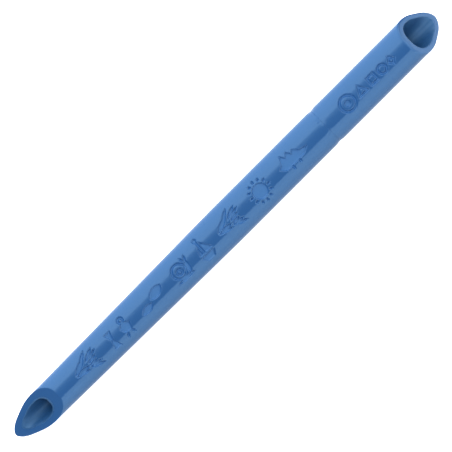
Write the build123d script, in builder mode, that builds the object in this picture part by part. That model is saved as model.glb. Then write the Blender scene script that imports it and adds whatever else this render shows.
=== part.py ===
from build123d import *
from math import asin, cos, radians, sin, sqrt
import os

# A hollow three-sided plastic crayon, made of two mouldings: a long tapered barrel and a short rear sleeve.
#
# The crayon lies along X on one of its three sides, its narrow end at -X, with the origin on the floor under
# its middle. The side that carries the pressed-in pictures faces up and towards -Y. Both ends are cut off
# slantwise, so that each ends in a point at the corner opposite that side. Sizes are in millimetres.

# Driving dimensions of the whole crayon
LENGTH = 120.6  # between the sharp points of the two cuts, before the rims are rounded
WIDTH = 8.8  # across one side, where the crayon is parallel
NARROW_WIDTH = 7.2  # the same at the narrow end's point
TAPER_LENGTH = 60.0  # from the narrow point to where the crayon becomes parallel
NARROW_CUT_ANGLE = 30.0  # between the cut and the crayon's axis
REAR_CUT_ANGLE = 45.0
PICTURE_SIDE = 150.0  # direction of the picture side's outward normal, from +Y towards +Z

# The section's shape, as shares of its width, so that every section is similar to every other
HALF_FLAT_SHARE = 0.11  # half of the flat along the middle of each side
SIDE_RADIUS_SHARE = 0.48  # the arcs on which a side falls away from its flat
CORNER_RADIUS_SHARE = 0.235

# The joint between the two mouldings
SLEEVE_LENGTH = 31.8  # from the rear point to where the mouldings meet
RING_DIP = 0.24  # how much narrower each is at its mating edge
RING_DIP_LENGTH = 0.8
SPIGOT_LENGTH = 11.0
SPIGOT_GAP = 0.1  # difference of width between the spigot and its socket
SPIGOT_LEAD = 0.3  # chamfer that leads the spigot in

# The bores
SLEEVE_BORE_WIDTH = 6.4
BARREL_BORE_WIDTH = 4.2  # at the narrow end
SPIGOT_BORE_WIDTH = 4.6  # at the spigot's end, wider for the core's draft
RIM_ROUND = 0.15  # on the outer edge of each cut rim

# The pictures: each is a flat-bottomed pocket in the picture side, placed along X by its middle
PICTURE_DEPTH = 0.35  # below the flat of the side
LINE = 0.42  # width of a pressed-in line
BIRDS_X = (-39.4, 1.1)
HOURGLASS_X = -32.3
LANTERN_X = -28.5
LOW_LEAF_X = -22.9
HIGH_LEAF_X = -19.5
SNAIL_X = -12.6
BOAT_X = -6.4
SUN_X = 9.9
HEDGEHOG_X = 19.3
MARK_X = 40.2  # a row of plain outlines on the sleeve

OVERRUN = 1.0  # how far a cutting shape runs past what it cuts
SIDES = (-90.0, 30.0, 150.0)  # outward normals of the three sides, from +Y towards +Z

NARROW_X = -LENGTH / 2
REAR_X = LENGTH / 2
PARALLEL_X = NARROW_X + TAPER_LENGTH
RING_X = REAR_X - SLEEVE_LENGTH
SPIGOT_X = RING_X + SPIGOT_LENGTH
SPIGOT_WIDTH = SLEEVE_BORE_WIDTH - SPIGOT_GAP


def side_arc_centre(width):
    """How far from the axis, towards its side, a side arc has its centre (negative: beyond the axis)."""
    return width * (0.5 - SIDE_RADIUS_SHARE - HALF_FLAT_SHARE / 2) / cos(radians(30))


def corner_centre(width):
    """How far from the axis a corner's arc has its centre, so that it meets both side arcs smoothly."""
    flat = width * HALF_FLAT_SHARE
    reach = width * (SIDE_RADIUS_SHARE - CORNER_RADIUS_SHARE)
    half_sum = (side_arc_centre(width) + sqrt(3) * flat) / 2
    return half_sum + sqrt(half_sum**2 - side_arc_centre(width) ** 2 - flat**2 + reach**2)


def side_arc_angle(width):
    """The angle that a side arc turns through, from the flat to the corner."""
    across = corner_centre(width) * sin(radians(60)) - width * HALF_FLAT_SHARE
    return asin(across / (width * (SIDE_RADIUS_SHARE - CORNER_RADIUS_SHARE)))


def side_distance(width):
    """Distance from the axis to the flat of a side."""
    return side_arc_centre(width) + width * SIDE_RADIUS_SHARE


def corner_distance(width):
    """Distance from the axis to the tip of a corner."""
    return corner_centre(width) + width * CORNER_RADIUS_SHARE


AXIS_HEIGHT = side_distance(WIDTH)  # the parallel part lies flat on the floor
PICTURE_NORMAL = Vector(0, 1, 0).rotate(Axis.X, PICTURE_SIDE)


# The planes that the sketches are drawn on and the cuts are made with


def section_plane(x):
    """The plane square to the crayon at x, its own x along +Y and its own y along +Z."""
    return Plane(origin=(x, 0, AXIS_HEIGHT), x_dir=(0, 1, 0), z_dir=(1, 0, 0))


def pocket_plane(x):
    """The floor of a picture's pocket at x: its own x along the crayon, its own y across the side."""
    width = WIDTH - (WIDTH - NARROW_WIDTH) * max(0, PARALLEL_X - x) / TAPER_LENGTH
    floor = Vector(x, 0, AXIS_HEIGHT) + PICTURE_NORMAL * (side_distance(width) - PICTURE_DEPTH)
    return Plane(origin=floor, x_dir=(1, 0, 0), z_dir=PICTURE_NORMAL)


def cut_plane(x, width, angle, keep):
    """The slanting cut whose point is at x, facing the kept material (keep is +1 or -1 along X)."""
    point = Vector(x, 0, AXIS_HEIGHT) - PICTURE_NORMAL * corner_distance(width)
    facing = Vector(keep * sin(radians(angle)), 0, 0) - PICTURE_NORMAL * cos(radians(angle))
    return Plane(origin=point, z_dir=facing)


NARROW_CUT = cut_plane(NARROW_X, NARROW_WIDTH, NARROW_CUT_ANGLE, 1)
REAR_CUT = cut_plane(REAR_X, WIDTH, REAR_CUT_ANGLE, -1)


# The shapes: each of these functions draws into the sketch that is open where it is called


def rounded_triangle(width):
    """The crayon's section: three flats, falling away on arcs to three round corners."""

    def on_side(side, hand, share):
        """The point of a side's arc on one hand (+1 or -1), share 0 at the flat and 1 at the corner."""
        angle = share * side_arc_angle(width)
        out = side_arc_centre(width) + width * SIDE_RADIUS_SHARE * cos(angle)
        along = width * (HALF_FLAT_SHARE + SIDE_RADIUS_SHARE * sin(angle))
        return Vector(out, hand * along).rotate(Axis.Z, side)

    with BuildLine() as outline:
        for side in SIDES:
            following = side + 120
            corner = Vector(corner_distance(width), 0).rotate(Axis.Z, side + 60)
            Line(on_side(side, -1, 0), on_side(side, 1, 0))
            ThreePointArc(*(on_side(side, 1, share) for share in (0, 0.5, 1)))
            ThreePointArc(on_side(side, 1, 1), corner, on_side(following, -1, 1))
            ThreePointArc(*(on_side(following, -1, share) for share in (1, 0.5, 0)))
    make_face(outline.edges())


def petal(start, end, half_width):
    """A leaf shape between two points, bounded by two equal arcs."""
    chord = Vector(*end) - Vector(*start)
    middle = Vector(*start) + chord / 2
    bulge = chord.normalized().rotate(Axis.Z, 90) * half_width
    with BuildLine() as outline:
        ThreePointArc(start, middle + bulge, end)
        ThreePointArc(end, middle - bulge, start)
    make_face(outline.edges())


def polygon(*points):
    """A filled outline through the points."""
    with BuildLine() as outline:
        Polyline(*points, close=True)
    make_face(outline.edges())


def polygon_line(*points):
    """A line just inside an outline through the points."""
    with BuildLine() as outline:
        Polyline(*points, close=True)
    face = make_face(outline.edges())
    offset(face, amount=-LINE, kind=Kind.INTERSECTION, mode=Mode.SUBTRACT)


def disc(x, y, radius):
    """A filled circle."""
    with Locations((x, y)):
        Circle(radius)


def circle_line(x, y, radius):
    """A line just inside a circle."""
    with Locations((x, y)):
        Circle(radius)
        Circle(radius - LINE, mode=Mode.SUBTRACT)


def bird():
    """A bird flying to the left: beak and body, a raised wing, and a tail of long feathers."""
    petal((-3.2, -0.2), (0.3, 1.5), 0.45)
    petal((-1.0, 0.9), (1.3, 2.5), 0.28)
    petal((-3.1, -0.6), (0.1, -0.5), 0.42)
    petal((-1.9, -1.0), (-0.2, -1.2), 0.2)
    petal((0.1, 0.5), (2.8, 1.9), 0.3)
    petal((0.9, 0.4), (3.2, 1.2), 0.24)
    petal((0.4, -0.1), (2.5, 0.3), 0.28)
    petal((0.4, -0.7), (2.3, -0.6), 0.26)
    petal((0.2, -1.1), (2.9, -1.3), 0.26)
    petal((0.8, -1.4), (3.2, -2.2), 0.28)


def hourglass():
    """Two bulbs, point to point."""
    polygon((-0.75, 1.6), (0.75, 1.6), (0.15, -0.2), (0.8, -2.1), (-0.8, -2.1), (-0.15, -0.2))


def lantern():
    """A five-sided lantern with a ring to hang it by and two feet."""
    circle_line(0, 1.55, 0.72)
    polygon((-0.75, -1.2), (0.75, -1.2), (1.25, 0.2), (0, 1.1), (-1.25, 0.2))
    petal((-0.45, -1.1), (-0.95, -2.2), 0.2)
    petal((0.45, -1.1), (0.95, -2.2), 0.2)


def low_leaf():
    """A small leaf, low on the side."""
    petal((-1.5, -1.1), (1.5, -0.6), 0.65)


def high_leaf():
    """A larger leaf, high on the side."""
    petal((-1.6, 0.1), (1.8, 1.0), 0.95)


def snail():
    """A shell with a ring in it, on a foot with a raised head and two feelers."""
    circle_line(-0.5, 0.1, 1.75)
    circle_line(-0.5, -0.1, 0.78)
    petal((-2.3, -1.9), (1.9, -1.9), 0.35)
    petal((1.2, -2.0), (1.9, 1.1), 0.38)
    petal((1.6, 0.7), (1.2, 2.0), 0.16)
    petal((1.9, 0.7), (2.3, 1.9), 0.16)


def boat():
    """A sailing boat: mast with a ball, two sails and a hull."""
    polygon((-0.55, -1.0), (-0.15, -1.0), (-0.15, 2.2), (-0.55, 2.2))
    disc(-0.35, 2.3, 0.42)
    polygon((0.1, 1.6), (1.7, -0.9), (0.1, -0.9))
    polygon((-0.8, 1.0), (-0.8, -0.9), (-1.5, -0.9))
    polygon((-1.6, -1.5), (1.7, -1.5), (0.9, -2.7), (-0.8, -2.7))


def sun():
    """A disc with twelve short rays."""
    disc(0, 0, 1.6)
    for i in range(12):
        ray = Vector(1, 0).rotate(Axis.Z, 30 * i)
        petal(ray * 1.95, ray * 2.65, 0.17)


def hedgehog():
    """A long animal with a row of spikes, a pointed nose and two feet."""
    polygon(
        (-3.7, 0.1), (-2.7, 0.5), (-1.9, 2.2), (-1.1, 1.0), (-0.4, 2.0), (0.3, 0.8),
        (0.9, 1.5), (1.9, 0.4), (3.7, -0.1), (2.2, -0.9), (-2.6, -1.0),
    )
    petal((-1.3, -0.8), (-1.1, -1.9), 0.22)
    petal((0.6, -0.8), (0.8, -1.7), 0.22)


def mark():
    """A row of plain outlines: a large circle round a dot, a triangle, a square, a circle and a diamond."""
    circle_line(-5.4, 0, 1.9)
    disc(-5.4, 0, 0.6)
    polygon_line((-3.0, -1.05), (-0.2, -1.05), (-1.6, 1.4))
    polygon_line((0.55, -1.05), (2.65, -1.05), (2.65, 1.05), (0.55, 1.05))
    circle_line(4.4, 0, 1.15)
    polygon_line((6.0, 0), (6.9, 1.2), (7.8, 0), (6.9, -1.2))


PICTURES = (
    (BIRDS_X[0], bird),
    (HOURGLASS_X, hourglass),
    (LANTERN_X, lantern),
    (LOW_LEAF_X, low_leaf),
    (HIGH_LEAF_X, high_leaf),
    (SNAIL_X, snail),
    (BOAT_X, boat),
    (BIRDS_X[1], bird),
    (SUN_X, sun),
    (HEDGEHOG_X, hedgehog),
)

os.makedirs("parts", exist_ok=True)

# Barrel: the long moulding, tapered towards its narrow end, with a spigot for the sleeve
with BuildPart() as barrel:
    for x, width in (
        (NARROW_X, NARROW_WIDTH),
        (PARALLEL_X, WIDTH),
        (RING_X - RING_DIP_LENGTH, WIDTH),
        (RING_X, WIDTH - RING_DIP),
    ):
        with BuildSketch(section_plane(x)):
            rounded_triangle(width)
    loft(ruled=True)
    for x, width in (
        (RING_X, SPIGOT_WIDTH),
        (SPIGOT_X - SPIGOT_LEAD, SPIGOT_WIDTH),
        (SPIGOT_X, SPIGOT_WIDTH - SPIGOT_LEAD),
    ):
        with BuildSketch(section_plane(x)):
            rounded_triangle(width)
    loft(ruled=True)
    for x, width in (
        (NARROW_X - OVERRUN, BARREL_BORE_WIDTH),
        (SPIGOT_X + OVERRUN, SPIGOT_BORE_WIDTH),
    ):
        with BuildSketch(section_plane(x)):
            rounded_triangle(width)
    loft(ruled=True, mode=Mode.SUBTRACT)
    split(bisect_by=NARROW_CUT, keep=Keep.TOP)
    narrow_rim = barrel.faces().filter_by(NARROW_CUT)[0].outer_wire()
    fillet(narrow_rim.edges(), RIM_ROUND)
    for x, picture in PICTURES:
        with BuildSketch(pocket_plane(x)):
            picture()
        extrude(amount=PICTURE_DEPTH + OVERRUN, mode=Mode.SUBTRACT)
barrel.part.label = "barrel"
export_step(barrel.part, "parts/barrel.step")

# Rear sleeve: the short parallel moulding that carries the mark and slides over the spigot
with BuildPart() as rear_sleeve:
    for x, width in (
        (RING_X, WIDTH - RING_DIP),
        (RING_X + RING_DIP_LENGTH, WIDTH),
        (REAR_X, WIDTH),
    ):
        with BuildSketch(section_plane(x)):
            rounded_triangle(width)
    loft(ruled=True)
    with BuildSketch(section_plane(RING_X - OVERRUN)):
        rounded_triangle(SLEEVE_BORE_WIDTH)
    extrude(amount=SLEEVE_LENGTH + 2 * OVERRUN, mode=Mode.SUBTRACT)
    split(bisect_by=REAR_CUT, keep=Keep.TOP)
    rear_rim = rear_sleeve.faces().filter_by(REAR_CUT)[0].outer_wire()
    fillet(rear_rim.edges(), RIM_ROUND)
    with BuildSketch(pocket_plane(MARK_X)):
        mark()
    extrude(amount=PICTURE_DEPTH + OVERRUN, mode=Mode.SUBTRACT)
rear_sleeve.part.label = "rear_sleeve"
export_step(rear_sleeve.part, "parts/rear_sleeve.step")
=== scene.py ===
"""The looks of a hollow three-sided plastic crayon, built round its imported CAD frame. Blender 4.5, metres.

The crayon lies along X on the floor, its narrow end at -X. Its picture side faces -Y and 30 degrees up.
Each moulding is one closed mesh of rings, and the pictures are pressed into the rings' points.
"""

from math import asin, cos, pi, radians, sin, sqrt, tan

import bpy
import numpy as np
from mathutils import Matrix, Vector


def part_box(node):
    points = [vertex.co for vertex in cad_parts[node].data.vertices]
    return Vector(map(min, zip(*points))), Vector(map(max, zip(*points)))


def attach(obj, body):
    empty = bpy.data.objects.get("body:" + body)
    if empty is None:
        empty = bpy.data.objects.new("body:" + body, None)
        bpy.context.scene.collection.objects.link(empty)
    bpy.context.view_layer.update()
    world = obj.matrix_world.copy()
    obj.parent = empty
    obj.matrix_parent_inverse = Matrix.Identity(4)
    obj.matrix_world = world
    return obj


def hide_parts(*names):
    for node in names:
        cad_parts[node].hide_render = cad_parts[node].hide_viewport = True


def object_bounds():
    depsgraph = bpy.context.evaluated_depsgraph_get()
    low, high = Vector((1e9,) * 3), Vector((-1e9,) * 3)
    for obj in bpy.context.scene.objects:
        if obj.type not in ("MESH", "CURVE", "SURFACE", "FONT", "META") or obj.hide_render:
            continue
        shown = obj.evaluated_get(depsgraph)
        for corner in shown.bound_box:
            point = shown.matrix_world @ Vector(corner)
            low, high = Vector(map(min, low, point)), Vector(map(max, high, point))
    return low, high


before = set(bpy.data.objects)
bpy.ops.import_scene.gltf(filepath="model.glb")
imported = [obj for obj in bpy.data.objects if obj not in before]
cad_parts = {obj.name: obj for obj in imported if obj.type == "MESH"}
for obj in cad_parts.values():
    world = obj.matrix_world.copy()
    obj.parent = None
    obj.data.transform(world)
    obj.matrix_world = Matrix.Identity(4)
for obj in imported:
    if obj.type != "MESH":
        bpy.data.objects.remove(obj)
cad_low, cad_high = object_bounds()

MM = 0.001

# Sizes of the frame, in metres
_, barrel_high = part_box("barrel")
sleeve_low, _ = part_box("rear_sleeve")
WIDTH = cad_high.y - cad_low.y  # across one side, where the crayon is parallel
RING_X = sleeve_low.x  # where the two mouldings meet
SPIGOT_X = barrel_high.x  # the spigot's end

# The design's own shape, as in the CAD
HALF_FLAT = 0.11  # these three are shares of the section's width
SIDE_RADIUS = 0.48
CORNER_RADIUS = 0.235
PICTURE_TURN = radians(150)  # the picture side's outward normal, from +Y towards +Z
NARROW_CUT = radians(30)
REAR_CUT = radians(45)
NARROW_WIDTH = 7.2 * MM  # at the narrow end's point
TAPER_LENGTH = 60 * MM  # from there to where the crayon becomes parallel
SLEEVE_BORE = 6.4 * MM
SPIGOT_WIDTH = SLEEVE_BORE - 0.1 * MM
SPIGOT_LEAD = 0.3 * MM  # chamfer at the spigot's end
BARREL_BORE = 4.2 * MM  # at the narrow end
SPIGOT_BORE = 4.6 * MM  # at the spigot's end
RIM_ROUND = 0.15 * MM  # on the outer edge of each slanted rim

# What the moulding adds to that shape
CROWN = 0.003  # how far a side falls away beside its middle, as a share of the width
RING_DIP = 0.34 * MM  # how much narrower the corners are where the mouldings meet
RING_DIP_LENGTH = 1.1 * MM
RING_DIP_ON_SIDES = 0.2  # the same in the middles of the sides, as a share of the corners' dip
RING_EDGE = 0.03 * MM  # rounding of the two mating edges
REAR_ROUND = 0.7 * MM  # the rear rim's rounding below the picture side
BORE_ROUND = 0.08 * MM  # rounding of the bores' edges
PIP_X = RING_X - 0.7 * MM  # the gate mark, a low round pip beside the ring
PIP_ACROSS = 1.6 * MM  # from the middle of the picture side towards the upper corner
PIP_RADIUS = 0.3 * MM
PIP_HEIGHT = 0.07 * MM

# Places along X
REAR_X = cad_high.x + RIM_ROUND * (1 / tan(REAR_CUT / 2) - 1)  # the rear cut's point, before it is rounded
NARROW_X = -REAR_X  # the narrow cut's, as far from the origin
PARALLEL_X = NARROW_X + TAPER_LENGTH

# Directions: out of the picture side, and across it towards the crayon's upper corner
OUT = Vector((0, cos(PICTURE_TURN), sin(PICTURE_TURN)))
ACROSS = Vector((1, 0, 0)).cross(OUT) * -1

# The pressed pictures
PRESS_DEPTH = 0.35 * MM
PRESS_SLOPE = 0.26 * MM  # width of the slope between the side and a picture's floor
LINE = 0.42  # width of a pressed line, in millimetres as all picture outlines are
MARGIN = 0.5  # from the last picture to the slanting rings, in millimetres too
FACING_SIDE = 0.5  # the picture side's points have normals with at least this share along OUT

# The mesh
FINE = 0.11 * MM  # spacing of the rings under a picture
COARSE = 1.2 * MM  # the widest spacing
PICTURE_SIDE_POINTS = 73  # across the picture side
ARC_POINTS = 9  # on each arc of the other sides
FLAT_POINTS = 7  # along the flat of the other sides
CORNER_POINTS = 12  # on each corner, between the points of its two sides
DIP_RINGS = 12  # from the ring to where its dip ends


# ---------------------------------------------------------------- the section

# At a width of one: where a side's arc and a corner's arc have their centres, measured from the axis
SIDE_CENTRE = (0.5 - SIDE_RADIUS - HALF_FLAT / 2) / cos(radians(30))
HALF_SUM = (SIDE_CENTRE + sqrt(3) * HALF_FLAT) / 2
CORNER_CENTRE = HALF_SUM + sqrt(
    HALF_SUM**2 - SIDE_CENTRE**2 - HALF_FLAT**2 + (SIDE_RADIUS - CORNER_RADIUS) ** 2
)
SIDE_ANGLE = asin((CORNER_CENTRE * sin(radians(60)) - HALF_FLAT) / (SIDE_RADIUS - CORNER_RADIUS))
TO_SIDE = SIDE_CENTRE + SIDE_RADIUS  # from the axis to the middle of a side
TO_CORNER = CORNER_CENTRE + CORNER_RADIUS
AXIS_HEIGHT = TO_SIDE * WIDTH


def unit_section():
    """A section one wide, as (y, z) points in order, close together on the picture side."""
    points = []
    end = HALF_FLAT + SIDE_RADIUS * sin(SIDE_ANGLE)
    for turn in (PICTURE_TURN, PICTURE_TURN + 2 * pi / 3, PICTURE_TURN + 4 * pi / 3):
        if turn == PICTURE_TURN:
            along = np.linspace(-end, end, PICTURE_SIDE_POINTS)
        else:
            arc = HALF_FLAT + SIDE_RADIUS * np.sin(np.linspace(0, SIDE_ANGLE, ARC_POINTS + 1)[1:])
            along = np.concatenate([-arc[::-1], np.linspace(-HALF_FLAT, HALF_FLAT, FLAT_POINTS), arc])
        past = np.maximum(np.abs(along) - HALF_FLAT, 0)
        out = SIDE_CENTRE + np.sqrt(SIDE_RADIUS**2 - past**2) - CROWN * np.sin(pi * along / end) ** 2
        bend = np.linspace(SIDE_ANGLE, 2 * pi / 3 - SIDE_ANGLE, CORNER_POINTS + 2)[1:-1]
        middle = CORNER_CENTRE * np.array([cos(pi / 3), sin(pi / 3)])
        corner = middle + CORNER_RADIUS * np.stack([np.cos(bend), np.sin(bend)], 1)
        turned = np.array([[cos(turn), sin(turn)], [-sin(turn), cos(turn)]])
        points.append(np.concatenate([np.stack([out, along], 1), corner]) @ turned)
    return np.concatenate(points)


SECTION = unit_section()


def smooth(share):
    """A share held between 0 and 1 and eased in and out."""
    share = np.clip(share, 0, 1)
    return share * share * (3 - 2 * share)


def outer_width(x):
    """Width of the crayon's outside at x, apart from the ring."""
    return WIDTH - (WIDTH - NARROW_WIDTH) * np.clip((PARALLEL_X - x) / TAPER_LENGTH, 0, None)


def ring_width(x):
    """Width at x near the ring, where the corners dip and the middles of the sides hardly do."""
    near = smooth(1 - np.abs(x - RING_X) / RING_DIP_LENGTH)
    corner = np.clip((np.hypot(*SECTION.T) - TO_SIDE) / (TO_CORNER - TO_SIDE), 0, 1)
    return WIDTH - RING_DIP * near * (RING_DIP_ON_SIDES + (1 - RING_DIP_ON_SIDES) * corner)


def bore_width(x):
    """Width of the barrel's bore at x."""
    share = (x - NARROW_X) / (SPIGOT_X - NARROW_X)
    return BARREL_BORE + (SPIGOT_BORE - BARREL_BORE) * share


def ring_points(x, width):
    """A ring of points round the axis; x is one or one for each point, width a number or a function of x."""
    x = np.broadcast_to(np.asarray(x, float), len(SECTION))
    size = width(x) if callable(width) else width
    return np.stack([x, SECTION[:, 0] * size, SECTION[:, 1] * size + AXIS_HEIGHT], 1)


def cut_ring(width, point_x, point_width, slant):
    """The ring where the lines along the tube meet a cut through the far corner's point, with that slant."""
    x = np.full(len(SECTION), float(point_x))
    facing = SECTION @ np.array([OUT.y, OUT.z])
    for _ in range(8):  # the width depends on x, so x settles in a few rounds
        size = width(x) if callable(width) else width
        x = point_x + (facing * size + TO_CORNER * point_width) / slant
    return ring_points(x, width)


# ---------------------------------------------------------------- the pictures

def petal(start, end, half_width):
    """Leaf shape between two points, as a signed distance."""
    a, b = np.array(start), np.array(end)
    chord = np.linalg.norm(b - a)
    radius = (chord**2 / 4 + half_width**2) / (2 * half_width)
    middle, normal = (a + b) / 2, np.array([a[1] - b[1], b[0] - a[0]]) / chord
    centres = [middle + hand * (radius - half_width) * normal for hand in (-1, 1)]
    return lambda x, y: np.maximum(*(np.hypot(x - c[0], y - c[1]) - radius for c in centres))


def disc(cx, cy, radius):
    """Filled circle, as a signed distance."""
    return lambda x, y: np.hypot(x - cx, y - cy) - radius


def polygon(*points):
    """Filled outline through the points, as a signed distance."""
    pts = np.array(points, float)

    def distance(x, y):
        near = np.full(x.shape, np.inf)
        inside = np.zeros(x.shape, bool)
        for a, b in zip(pts, np.roll(pts, -1, axis=0)):
            edge = b - a
            share = np.clip(((x - a[0]) * edge[0] + (y - a[1]) * edge[1]) / (edge @ edge), 0, 1)
            near = np.minimum(near, np.hypot(x - a[0] - share * edge[0], y - a[1] - share * edge[1]))
            crosses = (a[1] > y) != (b[1] > y)
            rise = np.where(edge[1] == 0, 1, edge[1])
            inside ^= crosses & (x < a[0] + (y - a[1]) * edge[0] / rise)
        return np.where(inside, -near, near)

    return distance


def outlined(shape):
    """The line just inside a shape's outline."""
    return lambda x, y: np.maximum(shape(x, y), -(shape(x, y) + LINE))


def together(*shapes):
    """All of those shapes as one."""
    return lambda x, y: np.minimum.reduce([shape(x, y) for shape in shapes])


def bird():
    """A bird flying to the left: beak and body, a raised wing, and a tail of long feathers."""
    return together(
        petal((-3.2, -0.2), (0.3, 1.5), 0.45),
        petal((-1.0, 0.9), (1.3, 2.5), 0.28),
        petal((-3.1, -0.6), (0.1, -0.5), 0.42),
        petal((-1.9, -1.0), (-0.2, -1.2), 0.2),
        petal((0.1, 0.5), (2.8, 1.9), 0.3),
        petal((0.9, 0.4), (3.2, 1.2), 0.24),
        petal((0.4, -0.1), (2.5, 0.3), 0.28),
        petal((0.4, -0.7), (2.3, -0.6), 0.26),
        petal((0.2, -1.1), (2.9, -1.3), 0.26),
        petal((0.8, -1.4), (3.2, -2.2), 0.28),
    )


def hourglass():
    """Two bulbs, point to point."""
    return polygon((-0.75, 1.6), (0.75, 1.6), (0.15, -0.2), (0.8, -2.1), (-0.8, -2.1), (-0.15, -0.2))


def lantern():
    """A five-sided lantern with a ring to hang it by and two feet."""
    return together(
        polygon((-0.75, -1.2), (0.75, -1.2), (1.25, 0.2), (0, 1.1), (-1.25, 0.2)),
        outlined(disc(0, 1.55, 0.72)),
        petal((-0.45, -1.1), (-0.95, -2.2), 0.2),
        petal((0.45, -1.1), (0.95, -2.2), 0.2),
    )


def snail():
    """A shell with a ring in it, on a foot with a raised head and two feelers."""
    return together(
        outlined(disc(-0.5, 0.1, 1.75)),
        outlined(disc(-0.5, -0.1, 0.78)),
        petal((-2.3, -1.9), (1.9, -1.9), 0.35),
        petal((1.2, -2.0), (1.9, 1.1), 0.38),
        petal((1.6, 0.7), (1.2, 2.0), 0.16),
        petal((1.9, 0.7), (2.3, 1.9), 0.16),
    )


def boat():
    """A sailing boat: mast with a ball, two sails and a hull."""
    return together(
        polygon((-0.55, -1.0), (-0.15, -1.0), (-0.15, 2.2), (-0.55, 2.2)),
        disc(-0.35, 2.3, 0.42),
        polygon((0.1, 1.6), (1.7, -0.9), (0.1, -0.9)),
        polygon((-0.8, 1.0), (-0.8, -0.9), (-1.5, -0.9)),
        polygon((-1.6, -1.5), (1.7, -1.5), (0.9, -2.7), (-0.8, -2.7)),
    )


def sun():
    """A disc with twelve short rays."""

    def ray(turn):
        c, s = cos(turn), sin(turn)
        return petal((1.95 * c, 1.95 * s), (2.65 * c, 2.65 * s), 0.17)

    return together(disc(0, 0, 1.6), *(ray(radians(30 * i)) for i in range(12)))


def hedgehog():
    """A long animal with a row of spikes, a pointed nose and two feet."""
    return together(
        polygon(
            (-3.7, 0.1), (-2.7, 0.5), (-1.9, 2.2), (-1.1, 1.0), (-0.4, 2.0), (0.3, 0.8),
            (0.9, 1.5), (1.9, 0.4), (3.7, -0.1), (2.2, -0.9), (-2.6, -1.0),
        ),
        petal((-1.3, -0.8), (-1.1, -1.9), 0.22),
        petal((0.6, -0.8), (0.8, -1.7), 0.22),
    )


def mark():
    """A row of plain outlines: a large circle round a dot, a triangle, a square, a circle and a diamond."""
    return together(
        outlined(disc(-5.4, 0, 1.9)),
        disc(-5.4, 0, 0.6),
        outlined(polygon((-3.0, -1.05), (-0.2, -1.05), (-1.6, 1.4))),
        outlined(polygon((0.55, -1.05), (2.65, -1.05), (2.65, 1.05), (0.55, 1.05))),
        outlined(disc(4.4, 0, 1.15)),
        outlined(polygon((6.0, 0), (6.9, 1.2), (7.8, 0), (6.9, -1.2))),
    )


# Each picture's middle along X in millimetres, half the length to be meshed finely, and its shape
BARREL_PICTURES = (
    (-39.4, 3.5, bird()),
    (-32.3, 1.1, hourglass()),
    (-28.5, 1.5, lantern()),
    (-22.9, 1.8, petal((-1.5, -1.1), (1.5, -0.6), 0.65)),
    (-19.5, 2.1, petal((-1.6, 0.1), (1.8, 1.0), 0.95)),
    (-12.6, 2.6, snail()),
    (-6.4, 2.0, boat()),
    (1.1, 3.5, bird()),
    (9.9, 2.9, sun()),
    (19.3, 4.0, hedgehog()),
)
SLEEVE_PICTURES = ((40.2, 8.1, mark()),)


def relief(points, normals, pictures):
    """How far each point is pressed into a picture and how far the gate mark lifts it, both 0 to 1."""
    from_axis = points - np.array([0, 0, AXIS_HEIGHT])
    x, across = from_axis[:, 0], from_axis @ np.array(ACROSS)
    on_side = (from_axis @ np.array(OUT) > 0) & (normals @ np.array(OUT) > FACING_SIDE)
    pressed = np.zeros(len(points))
    for middle, half, shape in pictures:
        near = on_side & (np.abs(x / MM - middle) < half)
        distance = shape(x[near] / MM - middle, across[near] / MM) * MM
        pressed[near] = np.maximum(pressed[near], smooth(0.5 - distance / PRESS_SLOPE))
    lifted = smooth(1 - np.hypot(x - PIP_X, across - PIP_ACROSS) / PIP_RADIUS) * on_side
    return pressed, lifted


def stations(start, end, pictures):
    """Places of rings from start to end: close together under the pictures, gradually wider elsewhere."""
    places = [start]
    while places[-1] < end:
        x = places[-1] / MM
        gap = min(abs(x - middle) - half for middle, half, _ in pictures)
        places.append(places[-1] + min(max(gap * MM, FINE), COARSE))
    places[-1] = end
    return places


# ---------------------------------------------------------------- the mouldings

def rounded_edge(before, corner, after, radius, steps=4):
    """Rings that round the edge at the ring corner, between a surface from before and one towards after.

    The radius is a number, or one for each point. Each point's arc is a rational curve of the second degree.
    """
    back = before - corner
    back /= np.linalg.norm(back, axis=1, keepdims=True)
    on = after - corner
    on /= np.linalg.norm(on, axis=1, keepdims=True)
    half = np.arccos(np.clip((back * on).sum(1), -1, 1)) / 2
    reach = (radius / np.tan(half))[:, None]
    weight = np.sin(half)[:, None]
    rings = []
    for t in np.linspace(0, 1, steps + 1):
        a, b, c = (1 - t) ** 2, 2 * t * (1 - t) * weight, t**2
        start, end = corner + back * reach, corner + on * reach
        rings.append((a * start + b * corner + c * end) / (a + b + c))
    return rings


def between(first, last, count):
    """Rings evenly between two rings, without them."""
    return [first + (last - first) * i / (count + 1) for i in range(1, count + 1)]


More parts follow.
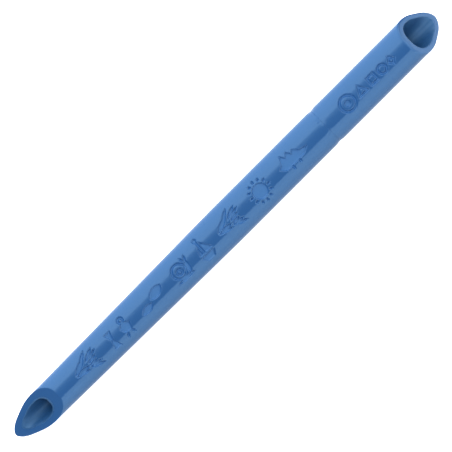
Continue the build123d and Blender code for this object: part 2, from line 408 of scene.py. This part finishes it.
def add_mesh(name, rings, bore, pictures, body, node):
    """A closed mesh through a loop of rings, with the pictures pressed in; the slice bore lines the bore."""
    around, count = len(SECTION), len(rings)
    i = np.arange(count)[:, None]
    j = np.arange(around)[None, :]
    following, beside = (i + 1) % count, (j + 1) % around
    corners = [i * around + j, i * around + beside, following * around + beside, following * around + j]
    faces = np.stack([np.broadcast_to(c, (count, around)).ravel() for c in corners], 1)
    points = np.concatenate(rings)
    mesh = bpy.data.meshes.new(name)
    mesh.from_pydata(points.tolist(), [], faces.tolist())
    mesh.update()
    normals = np.zeros(points.size)
    mesh.vertices.foreach_get("normal", normals)
    normals = normals.reshape(-1, 3)
    pressed, lifted = relief(points, normals, pictures)
    points = points + normals * (lifted * PIP_HEIGHT - pressed * PRESS_DEPTH)[:, None]
    mesh.vertices.foreach_set("co", points.ravel())
    inner = np.zeros((count, around))
    inner[bore] = 1
    for layer, values in (("pressed", pressed), ("inner", inner.ravel())):
        mesh.attributes.new(layer, "FLOAT", "POINT").data.foreach_set("value", values)
    mesh.shade_smooth()
    mesh.update()
    piece = bpy.data.objects.new(name, mesh)
    bpy.context.scene.collection.objects.link(piece)
    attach(piece, body)
    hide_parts(node)
    return piece


def make_barrel():
    """The long moulding: outside, shoulder, spigot, bore and slanted rim, as one loop of rings."""
    middle, half, _ = BARREL_PICTURES[0]
    straight = (middle - half - MARGIN) * MM  # from here on the rings stand square to the axis
    rim = cut_ring(outer_width, NARROW_X, NARROW_WIDTH, tan(NARROW_CUT))
    rim_in = cut_ring(bore_width, NARROW_X, NARROW_WIDTH, tan(NARROW_CUT))
    first = ring_points(straight, outer_width)
    bore_first = ring_points(straight, bore_width)
    rings = rounded_edge(rim_in, rim, first, RIM_ROUND)
    rings += between(rings[-1], first, count=10)
    dip_x = RING_X - RING_DIP_LENGTH
    rings += [ring_points(x, outer_width) for x in stations(straight, dip_x, BARREL_PICTURES)]
    rings += [ring_points(x, ring_width) for x in np.linspace(dip_x, RING_X, DIP_RINGS)[1:-1]]
    edge = ring_points(RING_X, ring_width)
    root = ring_points(RING_X, SPIGOT_WIDTH)
    spigot_end = ring_points(SPIGOT_X - SPIGOT_LEAD, SPIGOT_WIDTH)
    mouth = ring_points(SPIGOT_X, SPIGOT_WIDTH - SPIGOT_LEAD)
    mouth_in = ring_points(SPIGOT_X, SPIGOT_BORE)
    rings += rounded_edge(rings[-1], edge, root, RING_EDGE, steps=2)
    rings += [root, *between(root, spigot_end, count=6), spigot_end]
    rings += rounded_edge(spigot_end, mouth, mouth_in, BORE_ROUND, steps=2)
    bore_start = len(rings)
    rings += rounded_edge(mouth, mouth_in, bore_first, BORE_ROUND, steps=2)
    rings += between(mouth_in, bore_first, count=20)
    rings += between(bore_first, rim_in, count=14)
    rings += rounded_edge(bore_first, rim_in, rim, BORE_ROUND, steps=3)
    bore = slice(bore_start, len(rings))
    rings += between(rings[-1], rings[0], count=3)
    return add_mesh("barrel_shell", rings, bore, BARREL_PICTURES, "barrel", "barrel")


def make_sleeve():
    """The short moulding: mating edge, outside, slanted rim and bore, as one loop of rings."""
    middle, half, _ = SLEEVE_PICTURES[-1]
    straight = (middle + half + MARGIN) * MM  # up to here the rings stand square to the axis
    rim = cut_ring(outer_width, REAR_X, WIDTH, -tan(REAR_CUT))
    rim_in = cut_ring(SLEEVE_BORE, REAR_X, WIDTH, -tan(REAR_CUT))
    last = ring_points(straight, outer_width)
    bore_last = ring_points(straight, SLEEVE_BORE)
    bore_first = ring_points(RING_X, SLEEVE_BORE)
    edge = ring_points(RING_X, ring_width)
    dip_x = RING_X + RING_DIP_LENGTH
    dip = [ring_points(x, ring_width) for x in np.linspace(RING_X, dip_x, DIP_RINGS)[1:-1]]
    rings = rounded_edge(bore_first, edge, dip[0], RING_EDGE, steps=2) + dip
    rings += [ring_points(x, outer_width) for x in stations(dip_x, straight, SLEEVE_PICTURES)]
    facing = np.clip(SECTION @ np.array([OUT.y, OUT.z]) / TO_SIDE, 0, 1)
    rounding = rounded_edge(last, rim, rim_in, RIM_ROUND + (REAR_ROUND - RIM_ROUND) * facing, steps=6)
    rings += between(last, rounding[0], count=8) + rounding
    bore_rounding = rounded_edge(rim, rim_in, bore_last, BORE_ROUND, steps=3)
    rings += between(rounding[-1], bore_rounding[0], count=3)
    bore = slice(len(rings), None)
    rings += bore_rounding
    rings += between(bore_rounding[-1], bore_last, count=8) + [bore_last]
    rings += between(bore_last, bore_first, count=12)
    rings += rounded_edge(bore_last, bore_first, edge, BORE_ROUND, steps=2)
    return add_mesh("sleeve_shell", rings, bore, SLEEVE_PICTURES, "sleeve", "rear_sleeve")


# ---------------------------------------------------------------- materials

def new_material(name):
    """A material with its nodes and links."""
    material = bpy.data.materials.new(name)
    material.use_nodes = True
    return material, material.node_tree.nodes, material.node_tree.links


def attribute(nodes, name):
    """A value that the mesh carries at each point."""
    node = nodes.new("ShaderNodeAttribute")
    node.attribute_name = name
    return node.outputs["Fac"]


def noise(nodes, links, coordinates, size, stretch=(1, 1, 1), detail=3):
    """A noise texture with features about size metres across, longer by stretch along each axis."""
    mapping = nodes.new("ShaderNodeMapping")
    mapping.inputs["Scale"].default_value = [1 / (size * s) for s in stretch]
    texture = nodes.new("ShaderNodeTexNoise")
    texture.inputs["Scale"].default_value = 1
    texture.inputs["Detail"].default_value = detail
    links.new(coordinates, mapping.inputs["Vector"])
    links.new(mapping.outputs["Vector"], texture.inputs["Vector"])
    return texture.outputs["Fac"]


def mix(nodes, links, kind, factor, first, second):
    """What a factor from 0 to 1 makes of two ends, each a socket or a constant; kind is FLOAT or RGBA."""
    node = nodes.new("ShaderNodeMix")
    node.data_type = kind
    links.new(factor, node.inputs["Factor"])
    for end, value in (("A", first), ("B", second)):
        if isinstance(value, bpy.types.NodeSocket):
            links.new(value, node.inputs[end])
        else:
            node.inputs[end].default_value = value
    return node.outputs["Result"]


# The plastic's colours, linear, and a darker blue for the bore that is painted shade
DEEP_BLUE = (0.017, 0.099, 0.313, 1)
LIGHT_BLUE = (0.021, 0.113, 0.350, 1)
PRESSED_BLUE = (0.034, 0.142, 0.400, 1)
BORE_PAINTED_SHADE = (0.014, 0.080, 0.225, 1)


def plastic():
    """Glossy moulded blue plastic: faint streaks along the tube, fine orange peel, matt picture floors.

    The bore is duller, in fine streaks along it, as a core pin leaves it. Its darker blue is painted shade,
    the darkness deep in the hollow.
    """
    material, nodes, links = new_material("crayon_blue")
    shader = nodes["Principled BSDF"]
    shader.inputs["Specular IOR Level"].default_value = 1
    shader.inputs["Specular Tint"].default_value = (0.4, 0.7, 1, 1)
    place = nodes.new("ShaderNodeTexCoord").outputs["Object"]
    pressed = attribute(nodes, "pressed")
    inner = attribute(nodes, "inner")
    clouds = noise(nodes, links, place, 9 * MM, (3, 1, 1))
    streaks = noise(nodes, links, place, 1.2 * MM, (14, 1, 1))
    drawn = noise(nodes, links, place, 0.5 * MM, (60, 1, 1))
    peel = noise(nodes, links, place, 0.35 * MM, detail=2)

    colour = mix(nodes, links, "RGBA", clouds, DEEP_BLUE, LIGHT_BLUE)
    colour = mix(nodes, links, "RGBA", pressed, colour, PRESSED_BLUE)
    # painted shade: inside the bore the base colour darkens to a deeper blue
    colour = mix(nodes, links, "RGBA", inner, colour, BORE_PAINTED_SHADE)
    links.new(colour, shader.inputs["Base Color"])

    rough = mix(nodes, links, "FLOAT", streaks, 0.10, 0.14)
    rough = mix(nodes, links, "FLOAT", pressed, rough, 0.45)
    rough = mix(nodes, links, "FLOAT", inner, rough, drawn)  # fine streaks, from about 0.3 to 0.7
    links.new(rough, shader.inputs["Roughness"])

    bump = nodes.new("ShaderNodeBump")
    bump.inputs["Strength"].default_value = 0.12
    bump.inputs["Distance"].default_value = 0.02 * MM
    links.new(peel, bump.inputs["Height"])
    links.new(bump.outputs["Normal"], shader.inputs["Normal"])
    return material


def pale_floor():
    """White paper on a light table, whose own glow keeps the shadow on it faint."""
    material, nodes, _ = new_material("pale_floor")
    shader = nodes["Principled BSDF"]
    shader.inputs["Base Color"].default_value = (0.93, 0.93, 0.93, 1)
    shader.inputs["Roughness"].default_value = 0.9
    shader.inputs["Specular IOR Level"].default_value = 0.1
    shader.inputs["Emission Color"].default_value = (1, 1, 1, 1)
    shader.inputs["Emission Strength"].default_value = 1.1
    return material


# ---------------------------------------------------------------- camera, floor and light

def aim(obj, place, back, up):
    """Puts obj at place with its own +Z along back and its own +Y as near up as it can be."""
    right = up.cross(back).normalized()
    columns = (right, back.cross(right), back.normalized(), place)
    obj.matrix_world = Matrix([[c[row] for c in columns] for row in range(3)] + [[0, 0, 0, 1]])


def make_camera():
    """Square on to the picture side, rolled so that the crayon runs up to the right, and far off."""
    distance = 1.1
    sensor_width = 36  # millimetres, as the lens is
    seen = 0.7599 * (cad_high.x - cad_low.x)  # the picture's width at the crayon
    below = 0.13 * MM  # how far the view's middle lies from the crayon's axis, away from the upper corner
    camera = bpy.data.objects.new("camera", bpy.data.cameras.new("camera"))
    bpy.context.scene.collection.objects.link(camera)
    camera.data.sensor_width = sensor_width
    camera.data.lens = sensor_width * distance / seen
    camera.data.clip_end = 10
    middle = Vector(((cad_low.x + cad_high.x) / 2, 0, AXIS_HEIGHT)) - ACROSS * below
    up = (Vector((1, 0, 0)) + ACROSS).normalized()
    aim(camera, middle + OUT * distance, OUT, up)
    bpy.context.scene.camera = camera


def make_floor():
    """A wide pale sheet, which lights the crayon only in reflections, so that its light comes from above."""
    reach = 3.0  # from its middle to its edges
    mesh = bpy.data.meshes.new("floor")
    corners = [(x * reach, y * reach, 0) for x, y in ((-1, -1), (1, -1), (1, 1), (-1, 1))]
    mesh.from_pydata(corners, [], [(0, 1, 2, 3)])
    floor = bpy.data.objects.new("floor", mesh)
    floor.data.materials.append(pale_floor())
    bpy.context.scene.collection.objects.link(floor)
    floor.visible_diffuse = False


def softbox(name, back, distance, length, width, radiance, along=Vector((1, 0, 0))):
    """A rectangular light that faces the crayon from the direction back, its length along a direction."""
    light = bpy.data.lights.new(name, "AREA")
    light.shape = "RECTANGLE"
    light.size, light.size_y = width, length
    light.energy = radiance * pi * width * length
    holder = bpy.data.objects.new(name, light)
    bpy.context.scene.collection.objects.link(holder)
    holder.visible_camera = False
    aim(holder, Vector((0, 0, AXIS_HEIGHT)) + back.normalized() * distance, back, along)
    return holder


def panel(name, start, end, radiance, distance=0.8, length=0.4):
    """A softbox round the crayon's axis between two angles from the camera, towards the upper corner."""
    middle, half = radians(start + end) / 2, radians(end - start) / 2
    back = OUT * cos(middle) + ACROSS * sin(middle)
    softbox(name, back, distance, length, 2 * distance * tan(half), radiance)


def make_lights():
    """A white tent in panels round the crayon, open at the camera, so the flat facing it reads darker."""
    panel("upper_front_panel", 3, 43, 2.0)
    panel("upper_panel", 43, 83, 2.0, length=0.9)
    panel("upper_back_panel", 83, 147, 1.9, length=0.9)
    panel("lower_panel", -30.5, -12.5, 1.65)
    behind = Vector((1, -0.1, 0.35))
    softbox("rear_panel", behind, distance=0.8, length=0.4, width=0.4, radiance=1.3, along=ACROSS)
    turn = radians(48)  # from the camera's direction towards the crayon's rear
    back = OUT * cos(turn) + Vector((sin(turn), 0, 0))
    gleam = softbox("rear_gleam", back, distance=0.8, length=1.0, width=1.6, radiance=1.4)
    gleam.visible_diffuse = False  # it only shows as a reflection, in the rear rim
    world = bpy.data.worlds.new("studio")
    world.use_nodes = True
    background = world.node_tree.nodes["Background"]
    background.inputs["Color"].default_value = (1, 1, 1, 1)
    background.inputs["Strength"].default_value = 0.5
    bpy.context.scene.world = world
    bpy.context.scene.view_settings.view_transform = "Standard"


make_camera()
make_floor()
make_lights()
blue = plastic()
for piece in (make_barrel(), make_sleeve()):
    piece.data.materials.append(blue)
